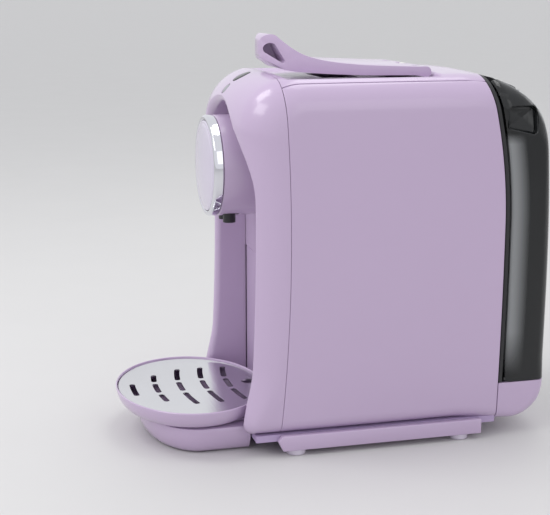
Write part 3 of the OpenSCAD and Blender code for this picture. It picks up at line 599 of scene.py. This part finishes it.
def top_cover():
    edge = 61.8
    xs = np.r_[np.linspace(0, 50, 21), np.linspace(52, 60, 13), edge, 5.5, 21, 26.5, 30.5]
    xs = np.unique(np.r_[-xs, xs])
    ys = np.unique(np.r_[np.linspace(-46, -30, 14), np.linspace(-28, 58, 30), np.linspace(59, 66, 11),
                         np.linspace(68, 78, 5), -8, 19, 33, 49.5, 61.9])
    y = np.r_[-47, ys, 83][:, None]*np.ones((1, len(xs)))
    x = xs[None, :]*np.ones_like(y)

    def height(y):
        return 200 + leave(lambda r: (x, y, 200 + r), 60)
    z = height(y)
    y[0], y[-1] = seam_y(z[0]) + 0.3, joint_y(z[-1]) - 0.2
    z = height(y)
    m = (1 - smooth(54.2, 57.6, np.abs(x)))*smooth(-47, -34, y)*(1 - smooth(61.6, 64.4, y))
    z = z*(1 - m) + 246.45*m
    mx, my = (xs[:-1] + xs[1:])/2, (y[:-1, 0] + y[1:, 0])/2

    def keep(i, j):
        ax, yy = abs(mx[j]), my[i]
        return not ((ax < 21 and -8 < yy < 19) or (ax < 5.5 and 33 < yy < 61.9)
                    or (26.5 < ax < 30.5 and 49.5 < yy < 61.9))
    return sheet(stack(x, y, z), keep=keep)


v, f = top_cover()
piece("top_shell", v, f, LILAC, "lilac_plastic", stands=["top_cover"], solid=2.1, bevel=0.4, seen_from=(0, 20, 100))


# ---------- rear base and tank dock ----------

def around(half, depth, corner, n_side=14, n_corner=14, n_rear=30):
    """Points of half a rounded rectangle, from +x round the rear to -x."""
    pts = [(half, t) for t in np.linspace(0, depth - corner, n_side)[:-1]]
    pts += arc((half - corner, depth - corner), corner, 0, 90, n_corner)
    pts += [(t, depth) for t in np.linspace(half - corner, -half + corner, n_rear)[1:-1]]
    pts += arc((-half + corner, depth - corner), corner, 90, 180, n_corner)
    pts += [(-half, t) for t in np.linspace(depth - corner, 0, n_side)[1:]]
    return np.array(pts)


def rear_base():
    pts = around(75, 45, 12)
    b = np.radians(np.linspace(0, 90, 34))[:, None]
    d = stack(pts[None, :, 0]*np.cos(b), pts[None, :, 1]*np.cos(b), -27*np.sin(b))
    d /= np.linalg.norm(d, axis=-1, keepdims=True)

    def path(r):
        return r*d[..., 0], JOINT_Y + 0.3 + r*d[..., 1], TANK_Z - 0.3 + r*d[..., 2]
    return sheet(stack(*path(leave(path))))


v, f = rear_base()
piece("rear_foot", v, f, LILAC, "lilac_plastic", stands=["rear_base"], solid=2.3, bevel=0.4, seen_from=(0, 110, 60))


def dock_wall():
    bx, bz, nx, nz = niche_rows(39.3, 73, 34, (33, 36, 39.0))

    def path(r):
        z = bz + r*nz
        return bx + r*nx, joint_y(z) + 1.8, z
    inset = np.where((bz < 39.2) & (nz == 0), 2.9, 0.6)
    rim = leave(path) - inset
    share = np.linspace(0, 1, 7)[None, :]
    n = np.hstack([share*(rim - 0.4), rim, rim, share[:, ::-1]*(rim - 0.4)])
    z = bz + n*nz
    ahead = np.hstack([np.full_like(share, 0.4), [[0.8, 2.8]], np.full_like(share, 3.2)])
    return sheet(stack(bx + n*nx, joint_y(z) + ahead, z))


def dock_floor():
    pts = around(70, 36, 10, 8, 8, 16)
    d = pts/np.linalg.norm(pts, axis=1, keepdims=True)
    r = leave(lambda k: (k*d[:, 0], JOINT_Y + 1 + k*d[:, 1], np.full(len(d), 35.0))) - 3.4
    return prism([tuple(p) for p in np.stack([r*d[:, 0], JOINT_Y + 1 + r*d[:, 1]], 1)], 33, 36)


v, f = dock_wall()
piece("dock_wall", v, f, LOOKS["black_plastic"], "black_plastic", stands=["tank_dock"])
v, f = dock_floor()
piece("dock_floor", v, f, LOOKS["black_plastic"], "black_plastic", bevel=0.6)
v, f = lathe([(6, 27), (6, 38), (6.6, 38.6), (8.4, 38.6), (9, 38), (9, 24.6), (8.4, 24), (3.2, 24), (3.2, 27)],
             (0, 124, 0), (0, 0, 1), 64, closed=True)
piece("dock_socket", v, f, LOOKS["black_plastic"], "black_plastic")


# ---------- water tank ----------

GRIP = [(105.5, 229.5), (127, 229.5), (127, 209), (105.5, 214)]
TANK = LOOKS["smoke_tank"]


def rounded(points, r, inset=0.0, n=6):
    """Rounded polygon, its corners turned clockwise or anticlockwise, moved inward by inset."""
    pts = [np.array(p, float) for p in points]
    area = sum(a[0]*b[1] - a[1]*b[0] for a, b in zip(pts, pts[1:] + pts[:1]))
    if area < 0:
        pts = pts[::-1]
    out = []
    for i, p in enumerate(pts):
        a, b = pts[i - 1] - p, pts[(i + 1) % len(pts)] - p
        a, b = a/np.linalg.norm(a), b/np.linalg.norm(b)
        half = math.acos(np.clip(a @ b, -1, 1))/2
        mid = (a + b)/np.linalg.norm(a + b)
        c = p + mid*r/math.sin(half)
        start = math.atan2(*(-(np.array([mid[1], mid[0]]))))
        turn = math.pi/2 - half
        for t in np.linspace(-turn, turn, n):
            out.append(tuple(c + (r - inset)*np.array([math.cos(start + t), math.sin(start + t)])))
    return out


def tank_shell():
    bx, bz, nx, nz = niche_rows(TANK_Z + 0.4, 91, 48)
    phi = np.radians(np.r_[np.linspace(0, 34, 30), np.linspace(36, 90, 22)])[None, :]

    def path(r):
        n = r*np.cos(phi)
        z = bz + n*nz
        return bx + n*nx, joint_y(z) + TANK_GAP + r*np.sin(phi), z
    return sheet(stack(*path(leave(path, shell=tank_skin))))


mouth = prism([(-56, 70), (56, 70), (56, 117), (54, 119), (-54, 119), (-56, 117)], 228, 262)
notch = prism([(-39.5, 112), (39.5, 112), (39.5, 127.4), (-39.5, 127.4)], 225, 262)
grips = [prism(rounded(GRIP, 3), s*62, s*90, "x") for s in (-1, 1)]
v, f = tank_shell()
piece("tank_shell", v, f, TANK, "smoke_tank", body="tank", stands=["water_tank"], solid=2.4,
      cut=[mouth, notch] + grips, seen_from=(0, 108, 140), sharp=30)


def grip_pocket(s):
    rows = []
    for inset, depth in [(-0.25, 0.1), (0, -0.05), (0.5, 0.25), (0.9, 1.2), (1.1, 3.2), (1.7, 4.3), (2.9, 4.6)]:
        ring = rounded(GRIP, 3, inset)
        y, z = (np.array(k) for k in zip(*ring))
        x = 40 + leave(lambda r: (40 + r, y, z), 50) - depth
        rows.append([(s*a, b, c) for a, b, c in zip(x, y, z)])
    mid = np.mean(rows[-1], axis=0)
    for k in (0.4, 0.75, 1):
        rows.append([tuple(np.array(p)*(1 - k) + mid*k) for p in rows[6]])
    return sheet(np.array(rows), wrap=True)


for word, s in (("left", -1), ("right", 1)):
    v, f = grip_pocket(s)
    piece(f"tank_grip_{word}", v, f, TANK, "smoke_tank", body="tank", solid=1.2, seen_from=(0, 116, 220))


def tank_rib(s):
    """Upright rib inside the rear corner of the tank."""
    z = np.linspace(42, 207.5, 40)[:, None]
    y = np.array([[134.2, 134.5, 135.5, 135.8]])
    depth = np.array([[3.4, 2.5, 2.5, 3.4]])
    x = 20 + leave(lambda r: (20 + r, y + 0*z, z + 0*y), 60) - depth
    return sheet(stack(s*x, y, z))


for word, s in (("left", -1), ("right", 1)):
    v, f = tank_rib(s)
    piece(f"tank_rib_{word}", v, f, LOOKS["black_gloss"], "black_gloss", body="tank", solid=0.8,
          seen_from=(0, 134, 120))


def front_wall():
    """Front wall of the tank, along the leaning joint."""
    bx, bz, nx, nz = niche_rows(TANK_Z + 0.8, 73, 34)

    def path(r):
        z = bz + r*nz
        return bx + r*nx, joint_y(z) + TANK_GAP, z
    rim = leave(path) - 6.6
    share = np.linspace(0, 1, 10)[None, :]
    z = bz + share*rim*nz
    return sheet(stack(bx + share*rim*nx, joint_y(z) + TANK_GAP, z))


v, f = front_wall()
piece("tank_front_wall", v, f, LOOKS["black_gloss"], "black_gloss", body="tank", solid=2.0, seen_from=(0, 160, 130),
      cut=[prism([(-54, 60), (54, 60), (54, 116), (-54, 116)], 241, 262)])
pts = around(72, 38, 8, 8, 8, 16)
d = pts/np.linalg.norm(pts, axis=1, keepdims=True)
r = leave(lambda k: (k*d[:, 0], JOINT_Y + TANK_GAP + 1 + k*d[:, 1], np.full(len(d), 42.0))) - 2.2
v, f = prism([tuple(p) for p in np.stack([r*d[:, 0], JOINT_Y + TANK_GAP + 1 + r*d[:, 1]], 1)], 39.5, 41.8)
piece("tank_floor", v, f, LOOKS["black_gloss"], "black_gloss", body="tank", bevel=0.4,
      cut=[lathe([(0, 36), (5, 36), (5, 45), (0, 45)], (0, 124, 0), (0, 0, 1), 40)])
v, f = lathe([(5, 39.6), (5, 49), (8, 49), (8, 39.6)], (0, 124, 0), (0, 0, 1), 64, closed=True)
cage = [prism([(a - 0.6, 121.5), (a + 0.6, 121.5), (a + 0.6, 126.5), (a - 0.6, 126.5)], 45, 61) for a in (-7.9, 7.9)]
cage.append(prism([(-8.5, 121.5), (8.5, 121.5), (8.5, 126.5), (-8.5, 126.5)], 59.5, 61))
v, f = join((v, f), *cage)
piece("tank_valve_cage", v, f, TANK, "smoke_tank", body="tank", bevel=0.3)
lugs = [prism([(119.4, 231.6), (131, 229), (130.6, 230.6), (127, 234), (122, 237.6), (119.4, 239)],
              s*43 - 3, s*43 + 3, "x") for s in (-1, 1)]
v, f = join(*lugs)
piece("tank_lugs", v, f, TANK, "smoke_tank", body="tank", bevel=0.4)


def lid():
    xs = np.linspace(-55.4, 55.4, 45)
    ys = np.r_[94, 95.4, 96, 97, 98.2, 99.6, np.linspace(101.5, 116.8, 9)]
    y = ys[:, None]*np.ones((1, len(xs)))
    x = xs[None, :]*np.ones_like(y)
    z = 200 + leave(lambda r: (x, y, 200 + r), 60)
    y[0] = joint_y(z[0]) + TANK_GAP + 0.3
    z = 200 + leave(lambda r: (x, y, 200 + r), 60, tank_skin)
    return sheet(stack(x, y, z))


v, f = lid()
piece("lid_plate", v, f, LOOKS["black_gloss"], "black_gloss", body="lid", stands=["tank_lid"], solid=2.3,
      bevel=0.6, seen_from=(0, 100, 150))
v, f = prism([(115.6, 239.6), (121.8, 237), (123, 233.4), (125.2, 234.2), (126, 236.6), (124.8, 238.8), (122.4, 240),
             (115.6, 242.6)], -39, 39, "x")
piece("lid_knuckle", v, f, LOOKS["black_gloss"], "black_gloss", body="lid", bevel=0.8)


# ---------- lever ----------

LEVER_PLAN = [(-48.4, 0.5), (-47.6, 6), (-44.5, 12), (-38, 20), (-26, 30), (-10, 38), (8, 43), (22, 45), (62, 43)]
NOSE_Y = -42.2


def lever_half(y):
    """Half width of the blade, narrowing to the nose."""
    fine = np.array(spline(LEVER_PLAN, 8))
    return np.interp(y, fine[:, 0], fine[:, 1])


def lever():
    hub = arc((PIVOT_Y, PIVOT_Z), 3.8, -70, 80, 14)
    top = spline([(52, 254.2), (35, 254.9), (8.5, 256.3), (-10.4, 258.6), (-23, 262), (-31, 266.8), (-37.4, 272.4)], 9)
    nose = arc((NOSE_Y, 269.6), 5.6, 62, 182, 16) + arc((NOSE_Y + 0.8, 263.6), 6.7, 192, 240, 7)
    under = spline([(-40, 255.4), (-34.5, 252.4), (-26.3, 251), (-3.6, 249.8), (22, 249.1), (50, 248.6)], 9)
    outline = hub + top + nose + under
    hollow = arc((NOSE_Y, 265.6), 3.9, 55, 215, 18) + arc((NOSE_Y + 6.6, 257.8), 1.3, 215, 415, 9)
    bm = bmesh.new()
    edges = []
    for pts in (outline, hollow):
        vs = [bm.verts.new((0, p[0], p[1])) for p in pts]
        edges += [bm.edges.new((vs[i], vs[(i + 1) % len(vs)])) for i in range(len(vs))]
    bmesh.ops.triangle_fill(bm, use_beauty=True, use_dissolve=False, edges=edges)
    bm.verts.index_update()
    flat = [tuple(q.co) for q in bm.verts]
    tris = [tuple(q.index for q in face.verts) for face in bm.faces]
    bm.free()
    n, ring, web = len(flat), len(outline), 1.5
    verts, faces = [], []
    for s in (-1, 1):
        verts += [(s*float(lever_half(p[1])), p[1], p[2]) for p in flat]
    faces += [t[::-1] for t in tris] + [tuple(n + i for i in t) for t in tris]
    faces += [(i, (i + 1) % ring, n + (i + 1) % ring, n + i) for i in range(ring)]
    # flanks' hollows end at a web in the middle
    for k, s in ((0, -1), (1, 1)):
        base = len(verts)
        verts += [(s*web, p[0], p[1]) for p in hollow]
        m = len(hollow)
        faces += [(k*n + ring + i, k*n + ring + (i + 1) % m, base + (i + 1) % m, base + i) for i in range(m)]
        faces.append(tuple(range(base, base + m)))
    return verts, faces


gaps = [prism([(52.5, 240), (70, 240), (70, 262), (52.5, 262)], a, b, "x")
        for a, b in ((-30.4, -26.6), (-4.3, 4.3), (26.6, 30.4))]
v, f = lever()
piece("lever_blade", v, f, LILAC, "lilac_plastic", body="lever", stands=["lever_handle"], bevel=1.1, cut=gaps, sharp=30)


# ---------- brew head ----------

HEAD = (0, 0, HEAD_Z)
v, f = lathe([(32, -34), (34.4, -34), (34.4, -77.4), (34.25, -78.0), (33.8, -78.35), (32.4, -78.4), (32, -78)],
             HEAD, (0, 1, 0), 128, closed=True)
piece("head_tube", v, f, LILAC, "lilac_plastic", stands=["head_shell"], sharp=30,
      cut=[prism([(-14, -75), (14, -75), (14, -64), (-14, -64)], 140, 170)])
v, f = lathe([(31, -79.2), (31.6, -78.8), (33.9, -78.8), (34.4, -79.3)] + arc((32.4, -83), 2, 0, -90, 8)
             + [(31.6, -85), (31, -84.5)], HEAD, (0, 1, 0), 128, closed=True)
piece("head_ring_trim", v, f, LOOKS["chrome_trim"], "chrome_trim", stands=["head_ring"], sharp=30)
dome = [(r, -88 + 3.0*(r/30.2)**2) for r in np.linspace(0, 28.4, 12)]
dome += [(28.8, -85.15), (29.2, -85.3), (30.1, -85.1), (30.6, -84.7), (30.8, -84), (30.8, -79.8), (0, -79.8)]
v, f = lathe(dome, HEAD, (0, 1, 0), 128)
piece("head_cover", v, f, PEARL, "pearl_plastic", stands=["head_cap"], sharp=35)
soften("coffee_spout", 0.5)


# ---------- tray, grate, bin ----------

SQUEEZE = TRAY_RY/TRAY_RX
bowl = [(0, 19.3), (30, 19.3), (50.5, 19.3)] + arc((51.8, 33.6), 14.2, -86, -12, 14)
bowl += [(65.95, 31.6), (66, 32.5), (65.7, 32.9), (65.2, 33.0), (64.8, 32.8), (64.6, 32.3), (64.6, 29.6), (61.5, 29)]
bowl += arc((50, 33.3), 12, -22, -90, 10) + [(20, 21.3), (0, 21.3)]
v, f = lathe(bowl, (0, TRAY_Y, 0), (0, 0, 1), 144, squeeze=SQUEEZE)
piece("tray_bowl", v, f, LILAC, "lilac_plastic", body="tray", stands=["drip_tray"], sharp=30)
tongue = [(x, TRAY_Y + SQUEEZE*math.sqrt(54**2 - x*x)) for x in np.linspace(-48, 48, 25)] + [(48, 18), (-48, 18)]
v, f = prism(tongue, 19.4, 21.2)
piece("tray_tongue", v, f, LILAC, "lilac_plastic", body="tray", bevel=0.5)


def slot(y, x0, x1, bend=170.0, half=2.0):
    """Curved slot with round ends."""
    a0, a1 = math.asin((x0 + half)/bend), math.asin((x1 - half)/bend)
    c = (0, y + bend)
    up = [(c[0] + (bend + half)*math.sin(t), c[1] - (bend + half)*math.cos(t)) for t in np.linspace(a0, a1, 9)]
    down = [(c[0] + (bend - half)*math.sin(t), c[1] - (bend - half)*math.cos(t)) for t in np.linspace(a1, a0, 9)]

    def end(t, turn):
        m = (c[0] + bend*math.sin(t), c[1] - bend*math.cos(t))
        base = t - math.pi/2
        return [(m[0] + half*math.cos(base + k), m[1] + half*math.sin(base + k)) for k in turn]
    outline = up + end(a1, np.linspace(0.4, 2.74, 5)) + down + end(a0, np.linspace(3.54, 5.88, 5))
    return prism(outline, 27, 35)


slots = [slot(-137, -13, 13)]
for y, reach in ((-121, 30), (-104, 40), (-87, 40), (-70, 38)):
    slots += [slot(y, -reach, -14), slot(y, -10, 10), slot(y, 14, reach)]
slots.append(lathe([(0, 26), (5, 26), (5, 36), (0, 36)], (0, -55, 0), (0, 0, 1), 40))
plate = [(0, 29.9), (40, 29.9), (62.8, 29.9), (63.7, 30.2), (64, 30.7), (63.9, 31.3), (63.4, 31.7), (62.7, 31.7),
         (62.1, 31.45), (61.4, 31.2), (58, 31.1), (40, 31.05), (0, 31.0)]
v, f = lathe(plate, (0, TRAY_Y, 0), (0, 0, 1), 144, squeeze=SQUEEZE)
piece("grate_plate", v, f, LOOKS["grate_steel"], "grate_steel", body="grate", stands=["drip_grate"],
      cut=slots, sharp=25)
soften("capsule_bin", 1.0)


# ---------- tray holder, skids, feet ----------

def holder_ring(g, z):
    rx, ry = 58 - g, 37.5 - g
    pts = [(rx*math.cos(t), TRAY_Y + ry*math.sin(t), z) for t in np.linspace(math.pi, 2*math.pi, 61)]
    side = np.linspace(TRAY_Y, -67, 7)[1:]
    return pts + [(rx, y, z) for y in side] + [(-rx, y, z) for y in side[::-1]]


bowl_rows = [(9.5, 1.0), (8.2, 1.05), (7.2, 1.5), (5.7, 2.9), (4.3, 4.8), (3.0, 7.2), (1.9, 10), (1.0, 13),
             (0.35, 16), (0.05, 18.2), (0.3, 18.8), (1.0, 19.0)]
v, f = loft([holder_ring(g, z) for g, z in bowl_rows])
piece("holder_bowl", v, f, LILAC, "lilac_plastic", stands=["tray_holder"], sharp=40)
slab = prism([(-58, -68), (58, -68), (58, -42.1), (40, -42.1), (40, 18), (30, 18), (30, -42.1), (-30, -42.1),
              (-30, 18), (-40, 18), (-40, -42.1), (-58, -42.1)], 15.1, 19)
piece("holder_floor", *slab, LILAC, "lilac_plastic", bevel=0.5)

SKID = [(-48.5, 4.2), (93, 4.2), (93, 14.4), (-49, 14.8), (-52, 11.2)]
for word, s in (("left", -1), ("right", 1)):
    v, f = prism(SKID, s*61, s*73.8, "x")
    trim = prism([(-60, 10), (110, 10), (110, 20), (-60, 20)], s*55, s*69.3, "x")
    piece(f"skid_rail_{word}", v, f, LILAC, "lilac_plastic", stands=[f"skid_{word}"], bevel=1.5, cut=[trim])
foot = [(0, 0), (5.4, 0), (6.1, 0.3), (6.5, 1.0), (6.5, 4.2), (0, 4.2)]
shapes = [lathe(foot, (s*66, y, 0), (0, 0, 1), 48) for s in (-1, 1) for y in (-38, 79)]
piece("foot_pads", *join(*shapes), LOOKS["foot_rubber"], "foot_rubber", stands=["feet"])
soften("base_plate", 0.6)


# ---------- buttons ----------

for name, node, angle, r, tone in (("button_large", "brew_button", 64, 6.4, "button_dark"),
                                   ("button_small", "power_button", 42, 3.9, "button_grey")):
    c, w = hood_axis(angle)
    face = [(k*r, HOOD_R + 0.45 - 0.75*k**3) for k in np.linspace(0, 0.94, 9)]
    cap = face + [(r*0.985, HOOD_R - 0.45), (r, HOOD_R - 0.9), (r, HOOD_R - 3.4), (1.6, HOOD_R - 3.4),
                  (1.6, HOOD_R - 5.3), (0, HOOD_R - 5.3)]
    v, f = lathe(cap, c, w, 64)
    piece(name, v, f, LOOKS[tone], tone, body=node, stands=[node], sharp=40)
